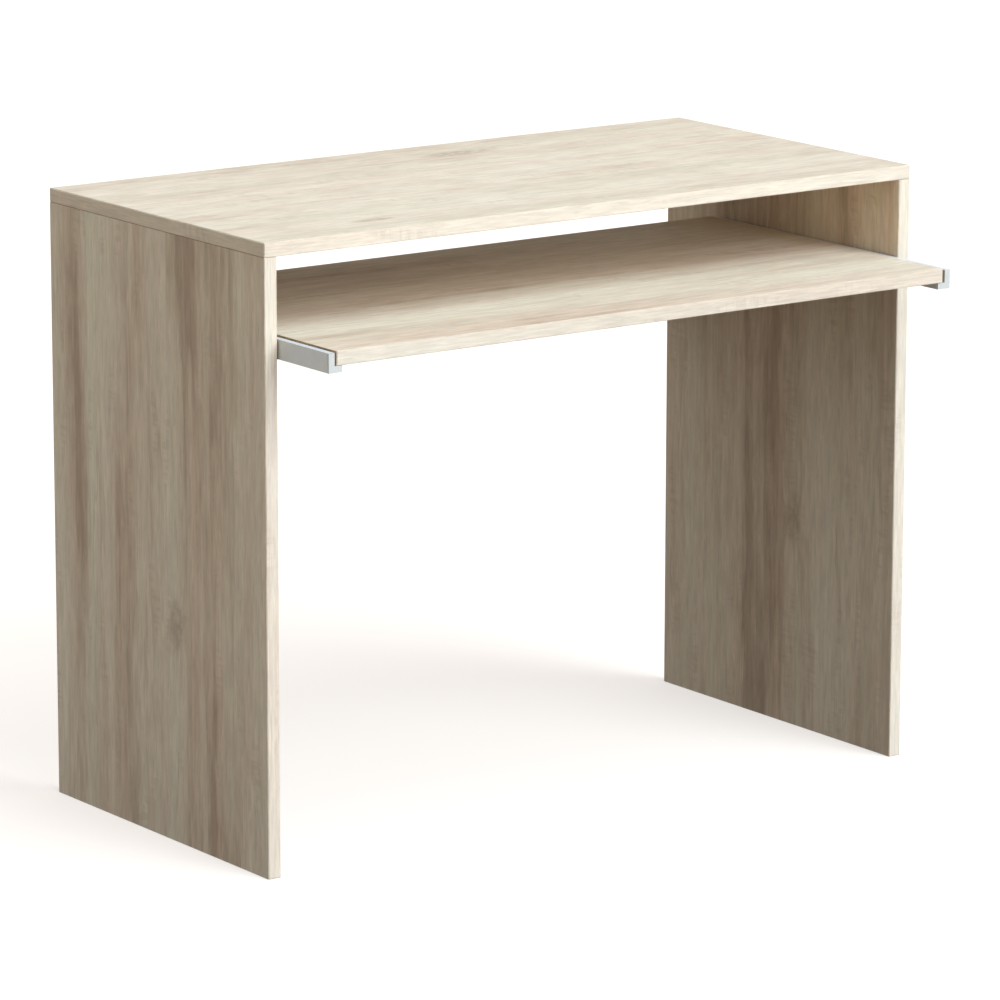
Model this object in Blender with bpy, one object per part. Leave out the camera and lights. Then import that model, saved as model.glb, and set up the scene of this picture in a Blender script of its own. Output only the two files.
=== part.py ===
"""A computer desk with a pull-out keyboard tray on roller runners, as a flat-pack assembly.

Metres, +Z up, the user sits at -Y. The origin is on the floor, in the middle of the footprint
that the desk covers with its tray drawn out by TRAY_PULL, which is the pose modelled here.
Boards are 16 mm laminated chipboard with glued edging strips; cam fittings and dowels join them.
"""

import math

import bmesh
import bpy
from mathutils import Vector

# ---------------------------------------------------------------- driving dimensions
WIDTH, DEPTH, HEIGHT = 0.900, 0.440, 0.710
BOARD = 0.016
TRAY_WIDTH, TRAY_DEPTH, TRAY_TOP = 0.843, 0.436, 0.6045
TRAY_PULL = 0.096
STRETCHER_LOW, STRETCHER_HIGH = 0.480, 0.574

EDGING = 0.001
SEAM = 0.0002
GAP = 0.0003
CHAMFER = 0.0003
EDGING_ROUND = 0.0007

SHEET = 0.0012
ROLLER_RADIUS, ROLLER_WIDTH = 0.009, 0.0052
ROLLER_SUNK, ROLLER_RECESS, ROLLER_BREAK = 0.0012, 0.0046, 0.0005
AXLE_RADIUS = 0.0023
AXLE_HEAD, AXLE_HEAD_HIGH = 0.0040, 0.0009
AXLE_CROWN, AXLE_CROWN_HIGH = 0.0033, 0.0004

# ---------------------------------------------------------------- places worked out from them
Y_FRONT = (TRAY_PULL - DEPTH) / 2
Y_BACK = Y_FRONT + DEPTH
PANEL_INNER = WIDTH / 2 - BOARD
PANEL_MIDDLE = WIDTH / 2 - BOARD / 2
SIDE_TOP = HEIGHT - BOARD - GAP
TRAY_FRONT = Y_FRONT - TRAY_PULL
TRAY_BACK = TRAY_FRONT + TRAY_DEPTH
TRAY_BOTTOM = TRAY_TOP - BOARD

# Runner section, across (from the side panel inwards) and up from the tray's underside.
RUNNER_OUT, RUNNER_WALL, RUNNER_IN = 0.002, 0.0095, 0.0195
RUNNER_TOP = TRAY_TOP - 0.0015
FLANGE_TOP, FLANGE_BOTTOM = TRAY_BOTTOM - GAP, TRAY_BOTTOM - 0.0075
RUNNER_SKIN = 0.0013
CAP_PLATE, CAP_TONGUE = 0.002, 0.008
RUNNER_SCREW_IN, RUNNER_PILOT = 0.016, 0.0095
FRONT_RUNNER_SCREW, REAR_RUNNER_SCREW = 0.0165, 0.0180

# Cabinet rail: a channel screwed to the side panel, just under the runner.
RAIL_DEEP, RAIL_LIP = 0.010, 0.002
RAIL_TOP = FLANGE_BOTTOM - 0.001
RAIL_FLOOR = RAIL_TOP - 0.0205
RAIL_FRONT, RAIL_BACK = Y_FRONT + 0.018, Y_FRONT + 0.418
RAIL_NOTCH = Y_FRONT + 0.046
RAIL_TOE_LONG, RAIL_TOE_HIGH = 0.012, 0.0025
FRONT_STOP = Y_FRONT + 0.090
STOP_HIGH = 0.004
RAIL_SCREW, RAIL_SCREW_UP = 0.0135, 0.0095

ROLLER_OUT = 0.0032
FRONT_ROLLER_Y = Y_FRONT + 0.030
FRONT_ROLLER_Z = FLANGE_BOTTOM - GAP - ROLLER_RADIUS
REAR_ROLLER_Y = TRAY_BACK - 0.030
REAR_ROLLER_Z = RAIL_FLOOR + GAP + ROLLER_RADIUS
BRACKET_OUT, BRACKET_SHEET = 0.0104, 0.0015
BRACKET_AHEAD, BRACKET_BEHIND, BRACKET_UNDER = 0.010, 0.027, 0.008

CAM_RADIUS, CAM_DEEP, CAM_INSET = 0.0075, 0.0125, 0.034
DISC_RADIUS, DISC = 0.009, 0.0005
BOLT_CHANNEL = 0.004
CAM_BREAK, CAM_CROSS = 0.0006, (0.0036, 0.0014, 0.0024)
CAM_WAY, CAM_WAY_LONG, CAM_WAY_PAST = 0.0037, 0.014, 0.004
BOLT_THREAD, BOLT_BITE = 0.0025, 0.011
BOLT_FLANGE, BOLT_STEM, BOLT_NECK, BOLT_TIP = 0.0034, 0.0028, 0.0016, 0.0022
DOWEL_RADIUS, DOWEL_BREAK = 0.004, (0.0008, 0.001)
PILOT = 0.0018
PAN_HEAD, LOW_HEAD = (0.0033, 0.0015), (0.0033, 0.0014)
SCREW_CROSS, SCREW_TIP = (0.0008, 0.0009), 0.003

ROUND, SMALL_ROUND = 24, 12
OVERSHOOT, THROUGH = 0.002, 0.010
SIDES = (("left", -1), ("right", 1))


# ---------------------------------------------------------------- materials
def material(name, colour, roughness, metallic=0.0):
    made = bpy.data.materials.new(name)
    made.use_nodes = True
    shader = made.node_tree.nodes["Principled BSDF"]
    shader.inputs["Base Color"].default_value = (*colour, 1.0)
    shader.inputs["Roughness"].default_value = roughness
    shader.inputs["Metallic"].default_value = metallic
    return made


def make_materials():
    return {
        "laminate": material("oak_laminate", (0.63, 0.53, 0.40), 0.55),
        "edging": material("oak_edging", (0.74, 0.66, 0.53), 0.5),
        "steel": material("zinc_plated_steel", (0.62, 0.63, 0.64), 0.35, 1.0),
        "runner": material("grey_enamelled_steel", (0.50, 0.52, 0.51), 0.4, 0.3),
        "nylon": material("white_nylon", (0.85, 0.85, 0.83), 0.45),
        "cap": material("oak_decor_foil", (0.60, 0.50, 0.37), 0.5),
        "alloy": material("cast_zinc_alloy", (0.55, 0.56, 0.58), 0.4, 1.0),
        "beech": material("beech_dowel", (0.66, 0.48, 0.30), 0.7),
    }


# ---------------------------------------------------------------- modelling helpers
def empty(name, location=(0.0, 0.0, 0.0), parent=None):
    made = bpy.data.objects.new(name, None)
    made.location = location
    made.parent = parent
    bpy.context.scene.collection.objects.link(made)
    return made


def to_object(name, mesh_data, place, paint, parent):
    """Turns a bmesh, in its own local frame, into an object at place (a world position)."""
    mesh_data.normal_update()
    bmesh.ops.recalc_face_normals(mesh_data, faces=mesh_data.faces)
    mesh = bpy.data.meshes.new(name)
    mesh_data.to_mesh(mesh)
    mesh_data.free()
    made = bpy.data.objects.new(name, mesh)
    if paint:
        mesh.materials.append(paint)
    if parent:
        made.parent = parent
        place = Vector(place) - parent.location
    made.location = place
    bpy.context.scene.collection.objects.link(made)
    return made


def add_box(target, low, high):
    """Adds a box between two corners, and returns its edges."""
    middle = [(a + b) / 2 for a, b in zip(low, high)]
    size = [abs(b - a) for a, b in zip(low, high)]
    corners = bmesh.ops.create_cube(target, size=1.0)["verts"]
    for corner in corners:
        corner.co = Vector(m + c * s for m, c, s in zip(middle, corner.co, size))
    return {edge for corner in corners for edge in corner.link_edges}


def board(name, low, high, paint, parent, rounding=CHAMFER, segments=1, outer=None):
    """A board or strip. outer, an axis and a side, keeps the rounding to that face's edges."""
    middle = Vector((a + b) / 2 for a, b in zip(low, high))
    shape = bmesh.new()
    add_box(shape, Vector(low) - middle, Vector(high) - middle)
    edges = list(shape.edges)
    if outer:
        axis, side = outer
        edges = [e for e in edges if all(v.co[axis] * side > 0 for v in e.verts)]
    bmesh.ops.bevel(shape, geom=edges, offset=rounding, segments=segments, affect="EDGES")
    return to_object(name, shape, middle, paint, parent)


def add_rod(target, centre, direction, radius, length, segments=SMALL_ROUND):
    """Adds a plain cylinder that starts at centre and runs along direction."""
    turn = Vector(direction).to_track_quat("Z", "Y").to_matrix().to_4x4()
    made = bmesh.ops.create_cone(
        target, cap_ends=True, segments=segments, radius1=radius, radius2=radius, depth=length
    )
    middle = Vector(centre) + Vector(direction).normalized() * length / 2
    for corner in made["verts"]:
        corner.co = turn @ corner.co + middle


def turned(name, outline, place, direction, paint, parent, segments=SMALL_ROUND):
    """A lathe-turned piece. outline lists (radius, height) up its own axis, which is then aimed."""
    shape = bmesh.new()
    corners = [shape.verts.new((radius, 0.0, height)) for radius, height in outline]
    closed = outline[0][0] > 0
    pairs = list(zip(corners, corners[1:] + corners[:1])) if closed else list(zip(corners, corners[1:]))
    edges = [shape.edges.new(pair) for pair in pairs]
    bmesh.ops.spin(
        shape, geom=corners + edges, axis=(0, 0, 1), cent=(0, 0, 0), angle=math.tau,
        steps=segments, use_merge=True,
    )
    bmesh.ops.remove_doubles(shape, verts=shape.verts, dist=1e-6)
    made = to_object(name, shape, place, paint, parent)
    made.rotation_euler = Vector(direction).to_track_quat("Z", "Y").to_euler()
    made.data.shade_smooth()
    made.data.set_sharp_from_angle(angle=math.radians(35))
    return made


def add_prism(target, outline, low, high, axis="Y", hole=None):
    """Adds an outline, of (across, up) points, drawn out from low to high along Y or Z."""
    def point(pair, level):
        a, b = pair
        return (a, level, b) if axis == "Y" else (a, b, level)

    rings = []
    for loop in filter(None, (outline, hole)):
        ends = [[target.verts.new(point(p, level)) for p in loop] for level in (low, high)]
        rings.append(ends)
        for i in range(len(loop)):
            j = (i + 1) % len(loop)
            target.faces.new((ends[0][i], ends[0][j], ends[1][j], ends[1][i]))
    for end in (0, 1):
        if hole is None:
            target.faces.new(rings[0][end])
            continue
        for i in range(len(outline)):
            j = (i + 1) % len(outline)
            inner, around = rings[1][end], rings[0][end]
            target.faces.new((around[i], around[j], inner[j], inner[i]))


def cut(piece, add_shapes):
    """Cuts every shape that add_shapes draws, in world coordinates, out of the piece."""
    shape = bmesh.new()
    add_shapes(shape)
    cutter = to_object(piece.name + "_cutter", shape, (0, 0, 0), None, None)
    cutter.hide_render = True
    cutter.display_type = "WIRE"
    modifier = piece.modifiers.new("cut", "BOOLEAN")
    modifier.operation = "DIFFERENCE"
    modifier.object = cutter
    return piece


def join(piece, add_shapes):
    """Joins every shape that add_shapes draws, in world coordinates, onto the piece."""
    cut(piece, add_shapes).modifiers[-1].operation = "UNION"


def cross(target, place, direction, arm, width, deep):
    """Adds a screwdriver's cross, sunk from place along direction."""
    a, b = arm, width / 2
    outline = [(a, -b), (a, b), (b, b), (b, a), (-b, a), (-b, b), (-a, b), (-a, -b), (-b, -b),
               (-b, -a), (b, -a), (b, -b)]
    before = set(target.verts)
    add_prism(target, outline, -OVERSHOOT, deep, axis="Z")
    turn = Vector(direction).to_track_quat("Z", "Y").to_matrix()
    for corner in set(target.verts) - before:
        corner.co = turn @ corner.co + Vector(place)


# ---------------------------------------------------------------- fasteners
def screw(name, place, direction, length, paint, parent, head=PAN_HEAD):
    """A pan-head chipboard screw. place is under its head, and direction is the way it bites."""
    radius, high = head
    shank = PILOT - GAP
    outline = [(0, -high), (radius * 0.55, -high), (radius * 0.9, -high * 0.6), (radius, 0),
               (shank, 0), (shank, length - SCREW_TIP), (0, length)]
    made = turned(name, outline, place, direction, paint, parent)
    face = Vector(place) - Vector(direction) * high
    cut(made, lambda shape: cross(shape, face, direction, radius * 0.5, *SCREW_CROSS))
    return made


def cam_bolt(name, foot, direction, paint, parent):
    """A cam fitting's bolt: thread in one board, shank and ball head in the next, along direction."""
    reach = CAM_INSET - 0.002
    outline = [(0, -BOLT_BITE), (BOLT_THREAD * 0.7, -BOLT_BITE), (BOLT_THREAD, -BOLT_BITE + 0.002),
               (BOLT_THREAD, -GAP), (BOLT_FLANGE, 0.0), (BOLT_FLANGE, 0.0015), (BOLT_STEM, 0.0025),
               (BOLT_STEM, reach - 0.008), (BOLT_NECK, reach - 0.007), (BOLT_NECK, reach - 0.003),
               (BOLT_STEM, reach - 0.0018), (BOLT_TIP, reach), (0, reach)]
    return turned(name, outline, foot, direction, paint, parent)


def cam(name, mouth, inwards, from_bolt, paint, parent):
    """The cam housing. mouth is its face's centre, inwards its axis, and from_bolt aims at the bolt."""
    radius = CAM_RADIUS - GAP
    outline = [(0, GAP), (radius - CAM_BREAK, GAP), (radius, GAP + CAM_BREAK), (radius, CAM_DEEP - GAP),
               (0, CAM_DEEP - GAP)]
    made = turned(name, outline, mouth, inwards, paint, parent, segments=ROUND)
    centre = Vector(mouth) + Vector(inwards).normalized() * BOARD / 2

    def hollows(shape):
        add_rod(shape, centre - Vector(from_bolt) * CAM_WAY_PAST, from_bolt, CAM_WAY, CAM_WAY_LONG)
        cross(shape, Vector(mouth) + Vector(inwards) * GAP, inwards, *CAM_CROSS)

    return cut(made, hollows)


def dowel(name, start, direction, length, paint, parent):
    radius = DOWEL_RADIUS - GAP
    end, high = DOWEL_BREAK
    outline = [(0, 0), (radius - end, 0), (radius, high), (radius, length - high),
               (radius - end, length), (0, length)]
    return turned(name, outline, start, direction, paint, parent)


# ---------------------------------------------------------------- carcass
TOP_CAM_Y = {"front": Y_FRONT + 0.050, "rear": Y_FRONT + 0.390}
TOP_DOWEL_Y = Y_FRONT + 0.220
RAIL_SCREW_Y = {"front": Y_FRONT + 0.064, "rear": Y_FRONT + 0.350}
STRETCHER_CAM_Z, STRETCHER_DOWEL_Z = STRETCHER_HIGH - 0.032, STRETCHER_LOW + 0.032
STRETCHER_MIDDLE_Y = Y_BACK - BOARD / 2
DOWEL_IN_SIDE, DOWEL_IN_TOP = 0.020, 0.010
DOWEL_IN_STRETCHER, DOWEL_IN_PANEL = 0.020, 0.010
RAIL_SCREW_Z = RAIL_FLOOR + RAIL_SCREW_UP
HOLE_END = 0.001


def top_panel(paints, carcass):
    edge = EDGING + SEAM
    low_z = HEIGHT - BOARD
    top = board("top_panel", (-WIDTH / 2 + edge, Y_FRONT + edge, low_z),
                (WIDTH / 2 - edge, Y_BACK, HEIGHT), paints["laminate"], carcass)

    def holes(shape):
        for _, side in SIDES:
            x = side * PANEL_MIDDLE
            for y in TOP_CAM_Y.values():
                add_rod(shape, (x, y, low_z - OVERSHOOT), (0, 0, 1), BOLT_THREAD + GAP,
                        BOLT_BITE + HOLE_END + OVERSHOOT)
            add_rod(shape, (x, TOP_DOWEL_Y, low_z - OVERSHOOT), (0, 0, 1), DOWEL_RADIUS,
                    DOWEL_IN_TOP + HOLE_END + OVERSHOOT)

    cut(top, holes)
    board("top_front_edging", (-WIDTH / 2, Y_FRONT, low_z), (WIDTH / 2, Y_FRONT + EDGING, HEIGHT),
          paints["edging"], carcass, EDGING_ROUND, 2, outer=(1, -1))
    for name, side in SIDES:
        xs = sorted((side * WIDTH / 2, side * (WIDTH / 2 - EDGING)))
        board(f"top_{name}_end_edging", (xs[0], Y_FRONT + edge, low_z), (xs[1], Y_BACK, HEIGHT),
              paints["edging"], carcass, EDGING_ROUND, 2, outer=(0, side))


def side_panel(name, side, paints, carcass):
    """One upright, drilled for its fittings, with its front edging."""
    xs = sorted((side * PANEL_INNER, side * WIDTH / 2))
    inner = side * PANEL_INNER
    middle = side * PANEL_MIDDLE
    panel = board(f"{name}_side_panel", (xs[0], Y_FRONT + EDGING + SEAM, 0.0),
                  (xs[1], Y_BACK, SIDE_TOP), paints["laminate"], carcass)

    out = (side, 0, 0)

    def cam_pockets(shape):
        for y in TOP_CAM_Y.values():
            add_rod(shape, (inner - side * OVERSHOOT, y, SIDE_TOP - CAM_INSET), out, CAM_RADIUS,
                    CAM_DEEP + OVERSHOOT, ROUND)

    def drillings(shape):
        for y in TOP_CAM_Y.values():
            add_rod(shape, (middle, y, SIDE_TOP + OVERSHOOT), (0, 0, -1), BOLT_CHANNEL,
                    CAM_INSET + OVERSHOOT)
        add_rod(shape, (middle, TOP_DOWEL_Y, SIDE_TOP + OVERSHOOT), (0, 0, -1), DOWEL_RADIUS,
                DOWEL_IN_SIDE + HOLE_END + OVERSHOOT)
        start = inner - side * OVERSHOOT
        add_rod(shape, (start, STRETCHER_MIDDLE_Y, STRETCHER_CAM_Z), out, BOLT_THREAD + GAP,
                BOLT_BITE + HOLE_END + OVERSHOOT)
        add_rod(shape, (start, STRETCHER_MIDDLE_Y, STRETCHER_DOWEL_Z), out, DOWEL_RADIUS,
                DOWEL_IN_PANEL + HOLE_END + OVERSHOOT)
        for y in RAIL_SCREW_Y.values():
            add_rod(shape, (start, y, RAIL_SCREW_Z), out, PILOT, RAIL_SCREW + OVERSHOOT)

    cut(panel, cam_pockets)
    cut(panel, drillings)
    board(f"{name}_side_front_edging", (xs[0], Y_FRONT, 0.0), (xs[1], Y_FRONT + EDGING, SIDE_TOP),
          paints["edging"], carcass, EDGING_ROUND, 2, outer=(1, -1))


def side_fittings(name, side, paints, carcass):
    """What joins one upright to the top: two cam fittings under cover discs, and a dowel between."""
    inner, middle = side * PANEL_INNER, side * PANEL_MIDDLE
    cam_z = SIDE_TOP - CAM_INSET
    for place, y in TOP_CAM_Y.items():
        cam_bolt(f"{name}_{place}_cam_bolt", (middle, y, HEIGHT - BOARD - GAP), (0, 0, -1),
                 paints["steel"], carcass)
        cam(f"{name}_{place}_cam", (inner, y, cam_z), (side, 0, 0), (0, 0, 1), paints["alloy"], carcass)
        outline = [(0, GAP), (DISC_RADIUS, GAP), (DISC_RADIUS, GAP + DISC), (0, GAP + DISC)]
        turned(f"{name}_{place}_cam_cover", outline, (inner, y, cam_z), (-side, 0, 0), paints["cap"],
               carcass, segments=ROUND)
    dowel(f"{name}_top_dowel", (middle, TOP_DOWEL_Y, SIDE_TOP - DOWEL_IN_SIDE), (0, 0, 1),
          DOWEL_IN_SIDE + DOWEL_IN_TOP, paints["beech"], carcass)


def rear_stretcher(paints, carcass):
    half = PANEL_INNER - GAP
    rail = board("rear_stretcher", (-half, Y_BACK - BOARD, STRETCHER_LOW), (half, Y_BACK, STRETCHER_HIGH),
                 paints["laminate"], carcass)

    def cam_pockets(shape):
        for _, side in SIDES:
            add_rod(shape, (side * (half - CAM_INSET), Y_BACK + OVERSHOOT, STRETCHER_CAM_Z), (0, -1, 0),
                    CAM_RADIUS, CAM_DEEP + OVERSHOOT, ROUND)

    def drillings(shape):
        for _, side in SIDES:
            into = (-side, 0, 0)
            start = side * (half + OVERSHOOT)
            add_rod(shape, (start, STRETCHER_MIDDLE_Y, STRETCHER_CAM_Z), into, BOLT_CHANNEL,
                    CAM_INSET + OVERSHOOT)
            add_rod(shape, (start, STRETCHER_MIDDLE_Y, STRETCHER_DOWEL_Z), into, DOWEL_RADIUS,
                    DOWEL_IN_STRETCHER + HOLE_END + OVERSHOOT)

    cut(rail, cam_pockets)
    cut(rail, drillings)
    for name, side in SIDES:
        into = (-side, 0, 0)
        cam_bolt(f"{name}_stretcher_cam_bolt", (side * half, STRETCHER_MIDDLE_Y, STRETCHER_CAM_Z), into,
                 paints["steel"], carcass)
        cam(f"{name}_stretcher_cam", (side * (half - CAM_INSET), Y_BACK, STRETCHER_CAM_Z), (0, -1, 0),
            (side, 0, 0), paints["alloy"], carcass)
        start = side * (PANEL_INNER + DOWEL_IN_PANEL)
        dowel(f"{name}_stretcher_dowel", (start, STRETCHER_MIDDLE_Y, STRETCHER_DOWEL_Z), into,
              DOWEL_IN_STRETCHER + DOWEL_IN_PANEL, paints["beech"], carcass)


# ---------------------------------------------------------------- roller runners
def slide_x(side, across):
    """The X of a point that lies this far inwards from a side panel's inner face."""
    return side * (PANEL_INNER - across)


def cabinet_rail(name, side, paints, carcass):
    """The fixed channel: web on the side panel, lipped flanges, two stops, open round the front roller."""
    web, floor, ceiling = GAP + SHEET, RAIL_FLOOR, RAIL_TOP - SHEET
    lip = RAIL_DEEP - SHEET
    section = [(GAP, floor - SHEET), (RAIL_DEEP, floor - SHEET), (RAIL_DEEP, floor + RAIL_LIP),
               (lip, floor + RAIL_LIP), (lip, floor), (web, floor), (web, ceiling), (lip, ceiling),
               (lip, ceiling - RAIL_LIP), (RAIL_DEEP, ceiling - RAIL_LIP), (RAIL_DEEP, RAIL_TOP),
               (GAP, RAIL_TOP)]
    shape = bmesh.new()
    add_prism(shape, [(slide_x(side, a), z) for a, z in section], RAIL_FRONT, RAIL_BACK)
    rail = to_object(f"{name}_cabinet_rail", shape, (0, 0, 0), paints["runner"], carcass)

    def stops(shape):
        bite = SHEET / 2
        xs = sorted((slide_x(side, web - bite), slide_x(side, RAIL_DEEP - 0.0002)))
        add_box(shape, (xs[0], RAIL_BACK - SHEET, floor - bite), (xs[1], RAIL_BACK - 0.0001, ceiling + bite))
        add_box(shape, (xs[0], FRONT_STOP, floor - bite), (xs[1], FRONT_STOP + SHEET, floor + STOP_HIGH))

    def openings(shape):
        xs = sorted((slide_x(side, web + 0.0001), slide_x(side, RAIL_DEEP + OVERSHOOT)))
        add_box(shape, (xs[0], RAIL_FRONT - OVERSHOOT, ceiling - RAIL_LIP - 0.001),
                (xs[1], RAIL_NOTCH, RAIL_TOP + OVERSHOOT))
        toe = sorted((slide_x(side, 0.0), slide_x(side, RAIL_DEEP + OVERSHOOT)))
        add_box(shape, (toe[0], RAIL_FRONT - OVERSHOOT, floor - SHEET - OVERSHOOT),
                (toe[1], RAIL_FRONT + RAIL_TOE_LONG, floor + RAIL_TOE_HIGH))
        start = slide_x(side, web + OVERSHOOT)
        out = (side, 0, 0)
        for y in RAIL_SCREW_Y.values():
            add_rod(shape, (start, y, RAIL_SCREW_Z), out, PILOT + 0.0002, THROUGH)
        add_rod(shape, (start, FRONT_ROLLER_Y, FRONT_ROLLER_Z), out, AXLE_RADIUS + GAP, THROUGH, 16)

    join(rail, stops)
    cut(rail, openings)
    for place, y in RAIL_SCREW_Y.items():
        screw(f"{name}_{place}_rail_screw", (slide_x(side, web + 0.0001), y, RAIL_SCREW_Z),
              (side, 0, 0), RAIL_SCREW, paints["steel"], carcass, head=LOW_HEAD)


def roller(name, side, y, z, paints, parent):
    """A nylon wheel, sunk on both faces for its axle's head. Its origin is on the axis it turns about."""
    half, sunk, bore, recess = ROLLER_WIDTH / 2, ROLLER_SUNK, AXLE_RADIUS + GAP, ROLLER_RECESS
    shoulder = ROLLER_RADIUS - ROLLER_BREAK
    outline = [(bore, sunk - half), (recess, sunk - half), (recess, -half), (shoulder, -half),
               (ROLLER_RADIUS, ROLLER_BREAK - half), (ROLLER_RADIUS, half - ROLLER_BREAK), (shoulder, half),
               (recess, half), (recess, half - sunk), (bore, half - sunk)]
    place = (slide_x(side, ROLLER_OUT + half), y, z)
    turned(name, outline, place, (1, 0, 0), paints["nylon"], parent, segments=ROUND)


def front_axle(name, side, paints, carcass):
    """The stud in the rail's web that the front roller turns on."""
    head = ROLLER_OUT + ROLLER_WIDTH - ROLLER_SUNK + GAP
    top = head + AXLE_HEAD_HIGH
    outline = [(0, GAP), (AXLE_RADIUS, GAP), (AXLE_RADIUS, head), (AXLE_HEAD, head),
               (AXLE_HEAD, top - AXLE_CROWN_HIGH), (AXLE_CROWN, top), (0, top)]
    place = (side * PANEL_INNER, FRONT_ROLLER_Y, FRONT_ROLLER_Z)
    turned(name, outline, place, (-side, 0, 0), paints["steel"], carcass, segments=16)


def rear_axle(name, side, paints, tray):
    """The stud in the bracket that the rear roller turns on."""
    tail = BRACKET_OUT + BRACKET_SHEET
    head = ROLLER_OUT + ROLLER_SUNK - GAP
    top = head - AXLE_HEAD_HIGH
    outline = [(0, top), (AXLE_CROWN, top), (AXLE_HEAD, top + AXLE_CROWN_HIGH), (AXLE_HEAD, head),
               (AXLE_RADIUS, head), (AXLE_RADIUS, tail), (0, tail)]
    place = (side * PANEL_INNER, REAR_ROLLER_Y, REAR_ROLLER_Z)
    turned(name, outline, place, (-side, 0, 0), paints["steel"], tray, segments=16)


RUNNER_SCREW_Y = {"front": TRAY_FRONT + 0.060, "rear": REAR_ROLLER_Y + 0.019}
BRACKET_FOOT_TOP = FLANGE_BOTTOM - GAP
BRACKET_FOOT_BOTTOM = BRACKET_FOOT_TOP - BRACKET_SHEET


def runner_section(inset=0.0):
    """The runner's angle-shaped outline, or the same outline taken in all round by inset."""
    return [(RUNNER_OUT + inset, FLANGE_BOTTOM + inset), (RUNNER_IN - inset, FLANGE_BOTTOM + inset),
            (RUNNER_IN - inset, FLANGE_TOP - inset), (RUNNER_WALL - inset, FLANGE_TOP - inset),
            (RUNNER_WALL - inset, RUNNER_TOP - inset), (RUNNER_OUT + inset, RUNNER_TOP - inset)]


def tray_runner(name, side, paints, tray):
    """The hollow angle that carries the tray: wall beside it, flange under its edge."""
    outline = [(slide_x(side, a), z) for a, z in runner_section()]
    hollow = [(slide_x(side, a), z) for a, z in runner_section(RUNNER_SKIN)]
    shape = bmesh.new()
    add_prism(shape, outline, TRAY_FRONT + CAP_PLATE + GAP, TRAY_BACK, hole=hollow)
    runner = to_object(f"{name}_tray_runner", shape, (0, 0, 0), paints["runner"], tray)

    def screw_holes(shape):
        for y in RUNNER_SCREW_Y.values():
            add_rod(shape, (slide_x(side, RUNNER_SCREW_IN), y, FLANGE_BOTTOM - OVERSHOOT), (0, 0, 1),
                    PILOT + 0.0002, THROUGH)

    cut(runner, screw_holes)
    shape = bmesh.new()
    add_prism(shape, outline, TRAY_FRONT, TRAY_FRONT + CAP_PLATE)
    cap = to_object(f"{name}_runner_end_cap", shape, (0, 0, 0), paints["nylon"], tray)
    tongue = [(slide_x(side, a), z) for a, z in runner_section(RUNNER_SKIN + GAP)]
    plate_middle = TRAY_FRONT + CAP_PLATE / 2
    join(cap, lambda s: add_prism(s, tongue, plate_middle, TRAY_FRONT + CAP_PLATE + CAP_TONGUE))


def roller_bracket(name, side, paints, tray):
    """The angle at the runner's rear end: a foot under the flange, and a leg down to the roller."""
    inner = BRACKET_OUT + BRACKET_SHEET
    foot = REAR_ROLLER_Z - BRACKET_UNDER
    section = [(BRACKET_OUT, foot), (inner, foot),
               (inner, BRACKET_FOOT_BOTTOM), (RUNNER_IN, BRACKET_FOOT_BOTTOM),
               (RUNNER_IN, BRACKET_FOOT_TOP), (BRACKET_OUT, BRACKET_FOOT_TOP)]
    shape = bmesh.new()
    add_prism(shape, [(slide_x(side, a), z) for a, z in section], REAR_ROLLER_Y - BRACKET_AHEAD,
              REAR_ROLLER_Y + BRACKET_BEHIND)
    bracket = to_object(f"{name}_roller_bracket", shape, (0, 0, 0), paints["steel"], tray)

    def openings(shape):
        xs = sorted((slide_x(side, BRACKET_OUT - OVERSHOOT), slide_x(side, inner + OVERSHOOT)))
        add_box(shape, (xs[0], REAR_ROLLER_Y + BRACKET_AHEAD, foot - OVERSHOOT),
                (xs[1], REAR_ROLLER_Y + BRACKET_BEHIND + OVERSHOOT, BRACKET_FOOT_BOTTOM))
        add_rod(shape, (slide_x(side, inner + OVERSHOOT), REAR_ROLLER_Y, REAR_ROLLER_Z), (side, 0, 0),
                AXLE_RADIUS + GAP, THROUGH, 16)
        add_rod(shape, (slide_x(side, RUNNER_SCREW_IN), RUNNER_SCREW_Y["rear"],
                        BRACKET_FOOT_BOTTOM - OVERSHOOT), (0, 0, 1), PILOT + 0.0002, THROUGH)

    cut(bracket, openings)


def keyboard_tray(paints, tray):
    half = TRAY_WIDTH / 2
    shelf = board("keyboard_tray", (-half, TRAY_FRONT + EDGING + SEAM, TRAY_BOTTOM),
                  (half, TRAY_BACK, TRAY_TOP), paints["laminate"], tray)

    def pilots(shape):
        for _, side in SIDES:
            for y in RUNNER_SCREW_Y.values():
                add_rod(shape, (slide_x(side, RUNNER_SCREW_IN), y, TRAY_BOTTOM - OVERSHOOT), (0, 0, 1),
                        PILOT, RUNNER_PILOT + OVERSHOOT)

    cut(shelf, pilots)
    board("tray_front_edging", (-half, TRAY_FRONT, TRAY_BOTTOM), (half, TRAY_FRONT + EDGING, TRAY_TOP),
          paints["edging"], tray, EDGING_ROUND, 2, outer=(1, -1))
    for name, side in SIDES:
        x = slide_x(side, RUNNER_SCREW_IN)
        screw(f"{name}_front_runner_screw", (x, RUNNER_SCREW_Y["front"], FLANGE_BOTTOM - 0.0001),
              (0, 0, 1), FRONT_RUNNER_SCREW, paints["steel"], tray)
        screw(f"{name}_rear_runner_screw", (x, RUNNER_SCREW_Y["rear"], BRACKET_FOOT_BOTTOM - 0.0001),
              (0, 0, 1), REAR_RUNNER_SCREW, paints["steel"], tray)


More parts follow.
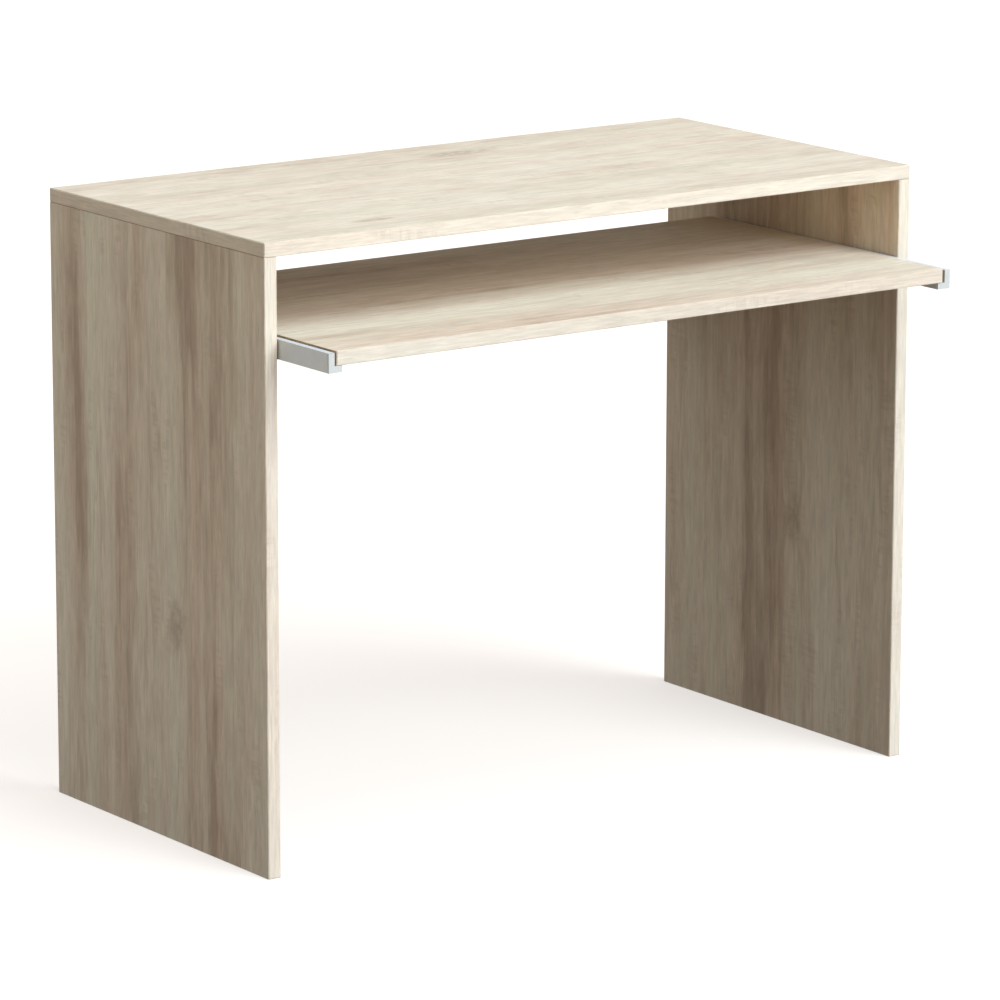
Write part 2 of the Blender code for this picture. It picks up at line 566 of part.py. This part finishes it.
# ---------------------------------------------------------------- assembly
def main():
    for leftover in list(bpy.data.objects):
        bpy.data.objects.remove(leftover)
    paints = make_materials()
    carcass = empty("carcass")
    tray = empty("tray", (0.0, TRAY_FRONT, TRAY_BOTTOM))
    top_panel(paints, carcass)
    rear_stretcher(paints, carcass)
    keyboard_tray(paints, tray)
    for name, side in SIDES:
        side_panel(name, side, paints, carcass)
        side_fittings(name, side, paints, carcass)
        cabinet_rail(name, side, paints, carcass)
        front_axle(f"{name}_front_roller_axle", side, paints, carcass)
        roller(f"{name}_front_roller", side, FRONT_ROLLER_Y, FRONT_ROLLER_Z, paints, carcass)
        tray_runner(name, side, paints, tray)
        roller_bracket(name, side, paints, tray)
        rear_axle(f"{name}_rear_roller_axle", side, paints, tray)
        roller(f"{name}_rear_roller", side, REAR_ROLLER_Y, REAR_ROLLER_Z, paints, tray)


main()
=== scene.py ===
"""Looks of the computer desk with keyboard tray: oak decor boards, pale runners, studio light."""

import math

import bmesh
import bpy
from mathutils import Matrix, Vector


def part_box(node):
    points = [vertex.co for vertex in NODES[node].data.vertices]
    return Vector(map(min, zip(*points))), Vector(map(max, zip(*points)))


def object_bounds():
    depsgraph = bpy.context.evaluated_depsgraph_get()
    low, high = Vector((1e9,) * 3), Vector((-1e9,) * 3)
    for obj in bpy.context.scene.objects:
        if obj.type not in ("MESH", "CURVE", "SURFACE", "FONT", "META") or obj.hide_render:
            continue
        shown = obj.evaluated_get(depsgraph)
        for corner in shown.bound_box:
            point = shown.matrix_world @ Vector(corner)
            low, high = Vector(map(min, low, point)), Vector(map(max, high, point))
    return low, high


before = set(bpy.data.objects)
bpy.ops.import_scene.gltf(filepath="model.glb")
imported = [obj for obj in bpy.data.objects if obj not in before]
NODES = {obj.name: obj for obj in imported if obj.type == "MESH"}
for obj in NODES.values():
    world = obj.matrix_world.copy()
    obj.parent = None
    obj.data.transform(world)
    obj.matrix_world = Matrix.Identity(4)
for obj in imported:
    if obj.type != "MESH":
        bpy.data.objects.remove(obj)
cad_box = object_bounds()

DESK_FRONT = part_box("top_front_edging")[0].y
WHITE, BLACK = (1.0, 1.0, 1.0), (0.0, 0.0, 0.0)


# ---------------------------------------------------------------- node helpers
# A colour Mix node's sockets go by index, because their names repeat for each type of value.
MIX_FACTOR, MIX_A, MIX_B, MIX_RESULT = 0, 6, 7, 2


class Graph:
    """Adds and links the shader nodes of one material, or of the world."""

    def __init__(self, owner, shader="Principled BSDF"):
        owner.use_nodes = True
        self.owner = owner
        self.tree = owner.node_tree
        self.shader = self.tree.nodes[shader]

    def put(self, socket, value):
        if isinstance(value, bpy.types.NodeSocket):
            self.tree.links.new(value, socket)
        else:
            socket.default_value = value

    def surface(self, values):
        """Sets the shader's own sockets, each to a number or colour or to another node's output."""
        for key, value in values.items():
            self.put(self.shader.inputs[key], value)

    def node(self, kind, inputs=(), output=0, **settings):
        made = self.tree.nodes.new("ShaderNode" + kind)
        for key, value in settings.items():
            setattr(made, key, value)
        for key, value in dict(inputs).items():
            self.put(made.inputs[key], value)
        return made.outputs[output]

    def math(self, operation, a, b=0.0):
        return self.node("Math", {0: a, 1: b}, operation=operation)

    def add(self, a, b):
        return self.math("ADD", a, b)

    def less(self, a, b):
        return self.math("SUBTRACT", a, b)

    def times(self, a, b):
        return self.math("MULTIPLY", a, b)

    def over(self, a, b):
        return self.math("DIVIDE", a, b)

    def least(self, a, b):
        return self.math("MINIMUM", a, b)

    def most(self, a, b):
        return self.math("MAXIMUM", a, b)

    def gap(self, a, b):
        """How far apart two values are."""
        return self.math("ABSOLUTE", self.less(a, b))

    def map(self, value, low, high, to_low=0.0, to_high=1.0, smooth=True):
        kind = "SMOOTHSTEP" if smooth else "LINEAR"
        return self.node("MapRange", {"Value": value, "From Min": low, "From Max": high,
                                      "To Min": to_low, "To Max": to_high},
                         interpolation_type=kind)

    def point(self):
        """The place on the object, in metres."""
        return self.node("TexCoord", output="Object")

    def vector(self, x, y, z):
        return self.node("CombineXYZ", {"X": x, "Y": y, "Z": z})

    def axes(self, vector):
        """The vector's X, Y and Z."""
        made = self.tree.nodes.new("ShaderNodeSeparateXYZ")
        self.put(made.inputs[0], vector)
        return list(made.outputs)

    def moved(self, vector, shift, scales=(1, 1, 1)):
        return self.node("Mapping", {"Vector": vector, "Scale": scales, "Location": shift})

    def noise(self, vector, scale, detail, roughness):
        return self.node("TexNoise", {"Vector": vector, "Scale": scale, "Detail": detail,
                                      "Roughness": roughness})

    def blend(self, factor, a, b, mode="MIX"):
        made = self.tree.nodes.new("ShaderNodeMix")
        made.data_type, made.blend_type = "RGBA", mode
        for index, value in ((MIX_FACTOR, factor), (MIX_A, a), (MIX_B, b)):
            self.put(made.inputs[index], value)
        return made.outputs[MIX_RESULT]

    def ramp(self, factor, stops):
        made = self.tree.nodes.new("ShaderNodeValToRGB")
        self.put(made.inputs[0], factor)
        elements = made.color_ramp.elements
        while len(elements) < len(stops):
            elements.new(0.5)
        for element, (place, colour) in zip(elements, stops):
            element.position, element.color = place, rgba(colour)
        return made.outputs[0]

    def bump(self, height, distance, strength):
        made = self.node("Bump", {"Height": height, "Distance": distance, "Strength": strength})
        self.surface({"Normal": made})


def rgba(colour):
    return (*colour, 1.0)


def paint(name):
    return Graph(bpy.data.materials.new(name))


# ---------------------------------------------------------------- oak decor
PALE = (0.810, 0.702, 0.528)
CREAM = (0.752, 0.625, 0.461)
BEIGE = (0.672, 0.530, 0.380)
BROWN = (0.480, 0.352, 0.243)
DARK_BROWN = (0.315, 0.220, 0.140)
OAK_TONES = ((0.0, BROWN), (0.30, BEIGE), (0.60, CREAM), (1.0, PALE))
GREEN_TINT, PINK_TINT = (0.978, 1.008, 0.990), (1.014, 0.988, 0.978)
OAK_GLOSS, OAK_BUMP = 0.26, (0.00012, 0.5)

# Which of X, Y and Z runs along the grain, across it, and deep into the log.
GRAIN_AXES = {"X": (0, 1, 2), "Y": (1, 0, 2), "Z": (2, 1, 0)}
SEED_SHIFT = (1.37, 0.61, 0.23)
# How far, in metres, the grain wanders and its bands fray, and how hard it bends round a knot.
WANDER, FRAY, KNOT_BEND = 0.030, 0.012, 1.5

# The decor's noise: waves per metre along and across the grain, shift, detail, roughness.
BANDS = {
    "wander": (1.7, 7, (0, 0, 0), 3, 0.5),
    "fray": (13, 240, (4, 4, 1), 2, 0.5),
    "broad": (0.9, 15, (0, 0, 0), 4, 0.5),
    "streak": (3.2, 90, (7, 0, 2), 3, 0.6),
    "thread": (24, 290, (6, 5, 2), 3, 0.65),
    "fibre": (26, 850, (0, 0, 0), 2, 0.6),
    "mottle": (13, 34, (1, 8, 3), 4, 0.6),
    "drift": (0.8, 24, (5, 3, 8), 2, 0.5),
    "wisp": (1.5, 30, (3, 1, 4), 3, 0.5),
    "wisp_patch": (5, 22, (9, 2, 6), 2, 0.5),
    "saw": (150, 26, (0, 0, 0), 2, 0.5),
    "saw_patch": (9, 38, (2, 7, 5), 2, 0.5),
    "speck": (90, 130, (0, 0, 0), 4, 0.7),
}
# What the broad bands and the streaks give to a board's tone, less its clouds' share for the
# bands, and how far from the noise's middle value the tone is at its darkest and palest.
BROAD_SHARE, STREAK_SHARE, TONE_SPREAD, MIDDLE = 0.80, 0.20, 0.20, 0.5

# Each range goes to map: the input at which an effect is at nothing and at which it is whole,
# or, with four numbers, the input's range and the values that it turns into.
GREEN_RANGE, PINK_RANGE = (0.50, 0.66), (0.50, 0.34)
FIBRE_SHADE, THREAD_SHADE = (0.30, 0.70, 0.965, 1.035), (0.28, 0.72, 0.90, 1.09)
WISP_LINE, WISP_SHOWN, WISP_DARKNESS = (0.020, 0.002), (0.52, 0.66), 0.30
SAW_LINE, SAW_SHOWN, SAW_DARKNESS, SAW_DEPTH = (0.56, 0.40), (0.56, 0.68), 0.24, 0.8
KNOT_SPECK, KNOT_HALO, HALO_DARKNESS = (0.68, 0.36), (0.02, 0.55), 0.24
KNOT_CORE, CORE_DARKNESS = (0.10, 0.75), 0.46
OAK_ROUGH = (0.3, 0.7, 0.64, 0.55)

# The darker brown band along the arrises: its wobble's scale, detail, roughness and depth in
# metres, then its range in metres from the arris, and how much it roughens the decor.
EDGE_DARK_NOISE, EDGE_DARK_WOBBLE = (70.0, 3, 0.6), 0.0014
EDGE_DARK_RANGE, EDGE_DARK_ROUGHENS = (0.0004, -0.0008, 0, 0.25), 0.3

CHIP_DARK, CHIP_MID, CHIP_PALE = (0.20, 0.125, 0.065), (0.42, 0.29, 0.16), (0.60, 0.46, 0.29)
CHIP_TONES = ((0.0, CHIP_DARK), (0.45, CHIP_MID), (1.0, CHIP_PALE))
CHIPS_PER_METRE, CHIP_ROUGH = 480.0, 0.9
DUST_TONES, DUST_SHARE = ((0.34, CHIP_DARK), (0.62, CHIP_PALE)), 0.5
DUST_NOISE = (240.0, 4, 0.7)
# Chipboard shows from the decor's thickness down, in metres, and is whole at SKIN_EDGE times
# that. On a raw face it shows within the range of distances from it.
SKIN, SKIN_EDGE, ON_RAW_FACE = 0.0004, 1.3, (0.00012, 0.00008)


def band(g, vector, name):
    """One of the decor's noise bands."""
    along, across, shift, detail, roughness = BANDS[name]
    return g.noise(g.moved(vector, shift, (along, across, across)), 1.0, detail, roughness)


def knot_pull(g, along, off, knot):
    """How strongly a point is inside the knot, from 0 to 1; off is its way off the middle."""
    at_along, _, long, wide = knot
    u, v = g.over(g.less(along, at_along), long), g.over(off, wide)
    square = g.add(g.times(u, u), g.times(v, v))
    return g.math("EXPONENT", g.times(square, -1.0))


def grain_space(g, grain, seed, knots):
    """Grain coordinates, X along the grain: straight ones, ones in which the grain wanders and
    bends round each knot, and how strongly a point is inside a knot."""
    axes = g.axes(g.point())
    along, across, deep = (axes[index] for index in GRAIN_AXES[grain])
    inside, bent = 0.0, across
    for knot in knots:
        off = g.less(across, knot[1])
        pull = knot_pull(g, along, off, knot)
        inside = g.most(inside, pull)
        bent = g.add(bent, g.times(off, g.times(pull, KNOT_BEND)))
    shift = tuple(seed * part for part in SEED_SHIFT)
    home = g.moved(g.vector(along, across, deep), shift)
    bent = g.add(bent, g.times(band(g, home, "wander"), WANDER))
    bent = g.add(bent, g.times(band(g, home, "fray"), FRAY))
    return home, g.moved(g.vector(along, bent, deep), shift), inside


def oak_tone(g, home, space, streak, contrast, clouds, lift):
    """How pale the decor is, from 0, brown, to 1."""
    tone = g.add(g.times(band(g, space, "broad"), BROAD_SHARE - clouds),
                 g.times(streak, STREAK_SHARE))
    tone = g.add(tone, g.times(band(g, home, "mottle"), clouds))
    spread = TONE_SPREAD / contrast
    return g.map(tone, MIDDLE - spread, MIDDLE + spread, lift, 1.0 + lift, smooth=False)


def oak_colour(g, space, tone, fibre):
    """The tone's colour, with green and pink drifts and with light and dark fibres."""
    colour = g.ramp(tone, OAK_TONES)
    drift = band(g, space, "drift")
    colour = g.blend(g.map(drift, *GREEN_RANGE), colour, rgba(GREEN_TINT), "MULTIPLY")
    colour = g.blend(g.map(drift, *PINK_RANGE), colour, rgba(PINK_TINT), "MULTIPLY")
    grit = g.times(g.map(fibre, *FIBRE_SHADE), g.map(band(g, space, "thread"), *THREAD_SHADE))
    return g.blend(1.0, colour, g.vector(grit, grit, grit), "MULTIPLY")


def wisps(g, home, space):
    """Thin dark growth lines that show over short stretches only."""
    line = g.map(g.gap(band(g, space, "wisp"), MIDDLE), *WISP_LINE)
    return g.times(line, g.map(band(g, home, "wisp_patch"), *WISP_SHOWN))


def saw_marks(g, home):
    """Short ripples across the grain, in a few long narrow patches."""
    fine = g.map(band(g, home, "saw"), *SAW_LINE)
    return g.times(fine, g.map(band(g, home, "saw_patch"), *SAW_SHOWN))


def darken_knots(g, home, inside, colour, height):
    """A brown halo round each knot and a dark, cracked core in it."""
    core = g.times(g.map(inside, *KNOT_CORE), g.map(band(g, home, "speck"), *KNOT_SPECK))
    halo = g.times(g.map(inside, *KNOT_HALO), HALO_DARKNESS)
    colour = g.blend(halo, colour, rgba(BROWN))
    colour = g.blend(g.times(core, CORE_DARKNESS), colour, rgba(DARK_BROWN))
    return colour, g.less(height, core)


def oak(name, grain, seed, box, raw=(), knots=(), contrast=1.0, clouds=0.15, lift=0.0,
        cored=False):
    """Pale sawn-oak decor. A cored board has chipboard under it, bare on its raw (axis, side)
    faces and in its holes."""
    g = paint(name)
    home, space, inside = grain_space(g, grain, seed, knots)
    streak, fibre, saw = band(g, space, "streak"), band(g, space, "fibre"), saw_marks(g, home)
    tone = oak_tone(g, home, space, streak, contrast, clouds, lift)
    colour = oak_colour(g, space, tone, fibre)
    colour = g.blend(g.times(wisps(g, home, space), WISP_DARKNESS), colour, rgba(BROWN))
    colour = g.blend(g.times(saw, SAW_DARKNESS), colour, rgba(BROWN))
    height = g.less(fibre, g.times(saw, SAW_DEPTH))
    if knots:
        colour, height = darken_knots(g, home, inside, colour, height)
    depths = inner_depths(g, box)
    colour, rough = darkened_arrises(g, depths, colour, g.map(streak, *OAK_ROUGH))
    if cored:
        colour, rough = chipboard(g, depths, box, raw, colour, rough)
    g.surface({"Base Color": colour, "Roughness": rough, "Specular IOR Level": OAK_GLOSS})
    g.bump(height, *OAK_BUMP)
    return g.owner


def inner_depths(g, box):
    """How far a point lies inside its board's outer faces, along X, Y and Z."""
    low, high = box
    depths = []
    for axis, place in enumerate(g.axes(g.point())):
        middle, half = (low[axis] + high[axis]) / 2, (high[axis] - low[axis]) / 2
        depths.append(g.less(half, g.gap(place, middle)))
    return depths


def darkened_arrises(g, depths, colour, rough):
    """A faint darker brown band along the edges where two faces meet, a little rougher there."""
    a, b, c = depths
    second = g.most(g.least(a, b), g.least(g.most(a, b), c))
    wobble = g.times(g.noise(g.point(), *EDGE_DARK_NOISE), EDGE_DARK_WOBBLE)
    # The decor turns darker brown within about a millimetre of each arris
    edge_dark = g.map(g.less(second, wobble), *EDGE_DARK_RANGE)
    return g.blend(edge_dark, colour, rgba(BROWN)), g.add(rough, g.times(edge_dark, EDGE_DARK_ROUGHENS))


def chipboard(g, depths, box, raw, colour, rough):
    """Bare chipboard under the decor, as holes and the raw faces show it."""
    a, b, c = depths
    bare = g.map(g.least(g.least(a, b), c), SKIN, SKIN * SKIN_EDGE)
    point = g.point()
    axes = g.axes(point)
    for axis, side in raw:
        face = box[0][axis] if side < 0 else box[1][axis]
        bare = g.most(bare, g.map(g.gap(axes[axis], face), *ON_RAW_FACE))
    cells = g.node("TexVoronoi", {"Vector": point, "Scale": CHIPS_PER_METRE}, output="Color")
    chips = g.ramp(g.node("SeparateColor", {"Color": cells}), CHIP_TONES)
    dust = g.ramp(g.noise(point, *DUST_NOISE), DUST_TONES)
    colour = g.blend(bare, colour, g.blend(DUST_SHARE, chips, dust))
    return colour, g.most(rough, g.times(bare, CHIP_ROUGH))


# ---------------------------------------------------------------- metals and plastics
# Noise is scale, detail and roughness; a bump is its depth in metres and its strength. Their
# clouds of tone and gloss run over one range of the noise. A dim is the clouds' darkest shade.
CLOUD_RANGE = (0.3, 0.7)
NOWHERE = (0, 0, 0)

ENAMEL_TONES = ((0.3, (0.72, 0.735, 0.705)), (0.7, (0.79, 0.800, 0.765)))
ENAMEL_ROUGH, ENAMEL_COAT = (0.30, 0.40), 0.15
ENAMEL_CLOUDS, ENAMEL_PEEL, ENAMEL_BUMP = (35.0, 4, 0.6), (900.0, 2, 0.5), (0.00003, 0.5)
SCUFF_GREY, SCUFF_RANGE = (0.45, 0.46, 0.45), (0.66, 0.76, 0, 0.35)
SCUFF_STRETCH, SCUFF_NOISE = (700, 30, 700), (1.0, 3, 0.7)

ZINC_CLOUDS, ZINC_DIM, ZINC_BUMP = (260.0, 4, 0.6), 0.82, (0.00002, 0.6)
BRUSH_STRETCH, BRUSH_NOISE = (3000, 900, 900), (1.0, 2, 0.6)

PLASTIC_CLOUDS, PLASTIC_DIM, PLASTIC_ROUGH = (120.0, 3, 0.5), 0.93, (0.47, 0.37)
SPARK_NOISE, PLASTIC_BUMP = (2600.0, 2, 0.6), (0.00003, 0.5)


def shades(g, clouds, base, dim):
    """The base colour, clouded with one that is dim times as bright."""
    return g.blend(g.map(clouds, *CLOUD_RANGE), rgba(dim * part for part in base), rgba(base))


def enamel(name):
    """Grey-white stoved enamel on rolled steel: faint orange peel and a dust of grey wear."""
    g = paint(name)
    point = g.point()
    clouds = g.noise(point, *ENAMEL_CLOUDS)
    scuff = g.noise(g.moved(point, NOWHERE, SCUFF_STRETCH), *SCUFF_NOISE)
    colour = g.blend(g.map(scuff, *SCUFF_RANGE), g.ramp(clouds, ENAMEL_TONES), rgba(SCUFF_GREY))
    g.surface({"Base Color": colour, "Roughness": g.map(clouds, *CLOUD_RANGE, *ENAMEL_ROUGH),
               "Coat Weight": ENAMEL_COAT})
    g.bump(g.noise(point, *ENAMEL_PEEL), *ENAMEL_BUMP)
    return g.owner


def plated(name, base, rough):
    """Zinc, brushed and a little clouded; rough is its darker and its paler parts' roughness."""
    g = paint(name)
    point = g.point()
    clouds = g.noise(point, *ZINC_CLOUDS)
    g.surface({"Base Color": shades(g, clouds, base, ZINC_DIM), "Metallic": 1.0,
               "Roughness": g.map(clouds, *CLOUD_RANGE, *rough)})
    g.bump(g.noise(g.moved(point, NOWHERE, BRUSH_STRETCH), *BRUSH_NOISE), *ZINC_BUMP)
    return g.owner


def plastic(name, base):
    """Moulded plastic with a fine spark-eroded skin."""
    g = paint(name)
    point = g.point()
    clouds = g.noise(point, *PLASTIC_CLOUDS)
    g.surface({"Base Color": shades(g, clouds, base, PLASTIC_DIM),
               "Roughness": g.map(clouds, *CLOUD_RANGE, *PLASTIC_ROUGH)})
    g.bump(g.noise(point, *SPARK_NOISE), *PLASTIC_BUMP)
    return g.owner


# ---------------------------------------------------------------- boards and hardware
# A board's faces, as (axis, side).
BACK, UNDERSIDE, UPPER_SIDE, LEFT_END, RIGHT_END = (1, 1), (2, -1), (2, 1), (0, -1), (0, 1)
# A seed is the board's own place in the decor. A knot is its place along the grain and across
# it, then its half length and half width, in metres.
BOARDS = {
    "top_panel": dict(grain="X", seed=3.0, raw=(BACK,), contrast=0.95, clouds=0.34,
                      knots=((0.070, 0.200, 0.046, 0.013), (-0.270, -0.118, 0.026, 0.007))),
    "left_side_panel": dict(grain="Z", seed=7.0, raw=(BACK, UNDERSIDE), contrast=1.9,
                            clouds=0.13, knots=((0.250, 0.010, 0.028, 0.013),)),
    "right_side_panel": dict(grain="Z", seed=11.0, raw=(BACK, UNDERSIDE), contrast=1.7,
                             clouds=0.13, knots=((0.255, 0.015, 0.028, 0.013),)),
    "rear_stretcher": dict(grain="X", seed=17.0, raw=(UNDERSIDE, UPPER_SIDE), contrast=1.2),
    "keyboard_tray": dict(grain="X", seed=23.0, raw=(BACK, LEFT_END, RIGHT_END), contrast=1.2,
                          clouds=0.20, lift=0.06),
}
STRIPS = {
    "top_front_edging": ("X", 31.0), "top_left_end_edging": ("Y", 37.0),
    "top_right_end_edging": ("Y", 41.0), "left_side_front_edging": ("Z", 43.0),
    "right_side_front_edging": ("Z", 47.0), "tray_front_edging": ("X", 53.0),
}
STRIP_LOOKS = dict(contrast=0.6, lift=0.12)
BEECH_SEED, FOIL_SEED = 61.0, 11.0
BRIGHT_ZINC, BRIGHT_ROUGH = (0.70, 0.71, 0.72), (0.40, 0.24)
CAST_ZINC, CAST_ROUGH = (0.50, 0.51, 0.53), (0.55, 0.38)
NYLON = (0.61, 0.58, 0.50)


def dress(node, material):
    slots = NODES[node].data.materials
    slots.clear()
    slots.append(material)


def dress_boards():
    for node, looks in BOARDS.items():
        dress(node, oak("oak_" + node, box=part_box(node), cored=True, **looks))
    for node, (grain, seed) in STRIPS.items():
        dress(node, oak("oak_" + node, grain, seed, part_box(node), **STRIP_LOOKS))


def dress_hardware():
    runner_enamel = enamel("white_runner_enamel")
    zinc = plated("bright_zinc", BRIGHT_ZINC, BRIGHT_ROUGH)
    casting = plated("zinc_casting", CAST_ZINC, CAST_ROUGH)
    nylon = plastic("white_nylon", NYLON)
    beech = oak("beech_dowel_wood", "Z", BEECH_SEED, cad_box)
    foil = oak("oak_cover_foil", "Z", FOIL_SEED, cad_box)
    endings = {
        "_tray_runner": runner_enamel, "_cabinet_rail": runner_enamel,
        "_runner_end_cap": nylon, "_front_roller": nylon, "_rear_roller": nylon,
        "_roller_bracket": zinc, "_screw": zinc, "_axle": zinc, "_cam_bolt": zinc,
        "_cam": casting, "_dowel": beech, "_cam_cover": foil,
    }
    for node in NODES:
        for ending, material in endings.items():
            if node.endswith(ending):
                dress(node, material)


# ---------------------------------------------------------------- camera
CAMERA_AZIMUTH, CAMERA_ELEVATION, CAMERA_ROLL = -35.86, 12.69, 0.104    # degrees
CAMERA_DISTANCE, CAMERA_LENS = 6.349, 204.8                             # metres, millimetres
CAMERA_AIM = Vector((-0.1373, DESK_FRONT, 0.3873))
CAMERA_SIGHT = 100.0


def towards(bearing, height):
    """The direction at a bearing from straight in front and a height angle, both in degrees."""
    a, e = math.radians(bearing), math.radians(height)
    return Vector((math.sin(a) * math.cos(e), -math.cos(a) * math.cos(e), math.sin(e)))


def add_camera():
    back = towards(CAMERA_AZIMUTH, CAMERA_ELEVATION)
    right = Vector((0, 0, 1)).cross(back).normalized()
    up = back.cross(right)
    roll = Matrix.Rotation(math.radians(CAMERA_ROLL), 3, "Z")
    turn = Matrix((right, up, back)).transposed() @ roll
    lens = bpy.data.cameras.new("camera")
    lens.lens, lens.clip_end = CAMERA_LENS, CAMERA_SIGHT
    camera = bpy.data.objects.new("camera", lens)
    camera.matrix_world = Matrix.Translation(CAMERA_AIM + back * CAMERA_DISTANCE) @ turn.to_4x4()
    bpy.context.scene.collection.objects.link(camera)
    bpy.context.scene.camera = camera


# ---------------------------------------------------------------- light and floor
KEY_COLOUR = (0.838, 1.0, 1.245)
# Each soft lamp's bearing from straight in front, height angle and apparent width in degrees,
# and its power. A lamp's place has no effect on its light.
LAMPS = {
    "high_softbox": (15, 50, 50, 1.84),
    "low_softbox": (15, 30, 40, 1.55),
    "front_fill": (10, 8, 20, 0.62),
}
LAMP_DISTANCE = 3
# The world's light above and below the horizon, and the half height of the blend between them.
SKY, GROUND, HORIZON = (0.556, 0.562, 0.562), (0.290, 0.233, 0.185), 0.12

# Both sheets lie just below the desk's feet, the card a little lower, and have a matt paint.
FLOOR_PAINT, FLOOR_GLOW, FLOOR_HEIGHT = (0.535, 0.450, 0.365), 0.57, -0.0004
FLOOR_LOW, FLOOR_HIGH = (-14.0, -10.0), (14.0, 18.0)
# The card's reach past the desk's left, right, front and back.
CARD_REACH, CARD_GLOW, CARD_HEIGHT = (0.9, 0.5, 1.0, 0.8), (0.030, 0.024, 0.019), -0.002
MATT = 0.9


def add_lamps():
    for name, (bearing, height, width, power) in LAMPS.items():
        back = towards(bearing, height)
        lamp = bpy.data.lights.new(name, "SUN")
        lamp.energy, lamp.color, lamp.angle = power, KEY_COLOUR, math.radians(width)
        holder = bpy.data.objects.new(name, lamp)
        holder.location = back * LAMP_DISTANCE
        holder.rotation_euler = back.to_track_quat("Z", "Y").to_euler()
        bpy.context.scene.collection.objects.link(holder)


def add_world():
    """A dim neutral sky, a darker warm glow from the ground, and a white backdrop."""
    world = bpy.data.worlds.new("studio")
    bpy.context.scene.world = world
    g = Graph(world, "Background")
    up = g.axes(g.node("TexCoord", output="Generated"))[2]
    light = g.blend(g.map(up, -HORIZON, HORIZON, smooth=False), rgba(GROUND), rgba(SKY))
    seen = g.node("LightPath", output="Is Camera Ray")
    g.surface({"Color": g.blend(seen, light, rgba(WHITE))})


def flat_sheet(name, low, high, height, colour, glow, strength):
    """A level rectangle between two corners, with a matt paint that glows."""
    shape = bmesh.new()
    corners = ((low[0], low[1]), (high[0], low[1]), (high[0], high[1]), (low[0], high[1]))
    shape.faces.new([shape.verts.new((x, y, height)) for x, y in corners])
    mesh = bpy.data.meshes.new(name)
    shape.to_mesh(mesh)
    shape.free()
    g = paint(name + "_paint")
    g.surface({"Base Color": rgba(colour), "Roughness": MATT, "Specular IOR Level": 0.0,
               "Emission Color": rgba(glow), "Emission Strength": strength})
    mesh.materials.append(g.owner)
    sheet = bpy.data.objects.new(name, mesh)
    bpy.context.scene.collection.objects.link(sheet)
    return sheet


def add_floor():
    """A pale floor that glows a little, so that it stays white and its shadows stay light."""
    floor = flat_sheet("floor", FLOOR_LOW, FLOOR_HIGH, FLOOR_HEIGHT,
                       FLOOR_PAINT, WHITE, FLOOR_GLOW)
    floor.visible_diffuse = False
    floor.visible_shadow = False


def add_dark_card():
    """A dark card just under the floor, unseen by the camera, that dims the panels' lower parts."""
    low, high = cad_box
    left, right, front, back = CARD_REACH
    card = flat_sheet("dark_card", (low[0] - left, low[1] - front),
                      (high[0] + right, high[1] + back), CARD_HEIGHT, BLACK, CARD_GLOW, 1.0)
    card.visible_camera = False
    card.visible_glossy = False
    card.visible_shadow = False


def main():
    bpy.context.scene.view_settings.view_transform = "Standard"
    dress_boards()
    dress_hardware()
    add_camera()
    add_world()
    add_lamps()
    add_floor()
    add_dark_card()


main()
